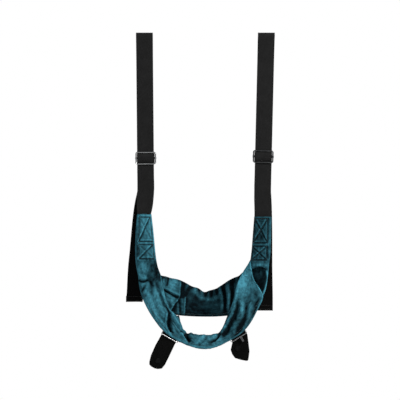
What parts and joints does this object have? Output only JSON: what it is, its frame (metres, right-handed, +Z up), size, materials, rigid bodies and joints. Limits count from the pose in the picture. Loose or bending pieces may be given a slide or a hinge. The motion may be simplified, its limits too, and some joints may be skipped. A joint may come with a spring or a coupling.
{
  "type": "pet lifting sling harness",
  "caption": "Padded velvet sling hung on adjustable webbing handle straps with metal sliders, with lower straps ending in snap tabs.",
  "frame": {"origin": "on the axis of the hanging bar through both top folds, midway between the handle straps", "axes": "+Z up, +X to the right seen from the front, front of the sling towards -Y"},
  "size_m": [0.3384, 0.1447, 0.7673],
  "materials": {
    "webbing": "charcoal black woven webbing, matte",
    "webbing_thread": "black sewing thread",
    "velvet": "teal velvet with a soft pile sheen",
    "velvet_thread": "teal sewing thread",
    "padding": "pale soft wadding",
    "elastic": "black knitted elastic",
    "gunmetal": "polished grey metal",
    "bright_steel": "bright nickel",
    "snap_metal": "black oxide, satin"
  },
  "bodies": {
    "sling": {"back_band_cover": "velvet", "back_band_elastic": "elastic", "back_band_hem_stitching": "velvet_thread", "back_band_lining": "velvet", "back_band_padding": "padding", "front_band_cover": "velvet", "front_band_lining": "velvet", "front_band_padding": "padding", "front_band_stitching": "velvet_thread", "left_handle_strap": "webbing", "left_leg_strap": "webbing", "left_snap_stud": "snap_metal", "left_snap_washer": "snap_metal", "left_tab_back": "velvet", "left_tab_front": "velvet", "left_tab_stitching": "velvet_thread", "right_handle_strap": "webbing", "right_leg_strap": "webbing", "right_snap_stud": "snap_metal", "right_snap_washer": "snap_metal", "right_tab_back": "velvet", "right_tab_front": "velvet", "right_tab_stitching": "velvet_thread"},
    "left_slider": {"left_slider_frame": "gunmetal", "left_slider_bar": "gunmetal"},
    "left_tail": {"left_strap_tail": "webbing", "left_tail_hem_stitching": "webbing_thread"},
    "left_leg_end": {"left_leg_loop": "bright_steel", "left_leg_tab": "webbing", "left_snap_cap": "snap_metal", "left_snap_socket": "snap_metal"},
    "right_slider": {"right_slider_frame": "gunmetal", "right_slider_bar": "gunmetal"},
    "right_tail": {"right_strap_tail": "webbing", "right_tail_hem_stitching": "webbing_thread"},
    "right_leg_end": {"right_leg_loop": "bright_steel", "right_leg_tab": "webbing", "right_snap_cap": "snap_metal", "right_snap_socket": "snap_metal"},
    "right_tongue": {"right_leg_tongue": "bright_steel"}
  },
  "joints": [
    {"name": "left_slider_slide", "type": "slide", "parent": "sling", "child": "left_slider", "axis": [-0.0088, 0, 1], "range_m": [-0.06, 0.19]},
    {"name": "left_tail_swing", "type": "hinge", "parent": "sling", "child": "left_tail", "pos_m": [-0.139, 0.0015, -0.3686], "axis": [1, 0, 0], "range_deg": [0, 70]},
    {"name": "left_leg_swing", "type": "hinge", "parent": "sling", "child": "left_leg_end", "pos_m": [-0.0715, 0.04, -0.67], "axis": [0.8471, 0.1801, -0.5], "range_deg": [-25, 110]},
    {"name": "right_slider_slide", "type": "slide", "parent": "sling", "child": "right_slider", "axis": [0.0239, 0, 0.9997], "range_m": [-0.06, 0.19]},
    {"name": "right_tail_swing", "type": "hinge", "parent": "sling", "child": "right_tail", "pos_m": [0.1304, 0.0015, -0.3686], "axis": [1, 0, 0], "range_deg": [0, 70]},
    {"name": "right_leg_swing", "type": "hinge", "parent": "sling", "child": "right_leg_end", "pos_m": [0.0665, 0.04, -0.6688], "axis": [0.8295, -0.1763, 0.5299], "range_deg": [-25, 110]},
    {"name": "right_tongue_flip", "type": "hinge", "parent": "right_leg_end", "child": "right_tongue", "pos_m": [0.0779, 0.03758, -0.68746], "axis": [0.8295, -0.1763, 0.5299], "range_deg": [-100, 8]}
  ]
}
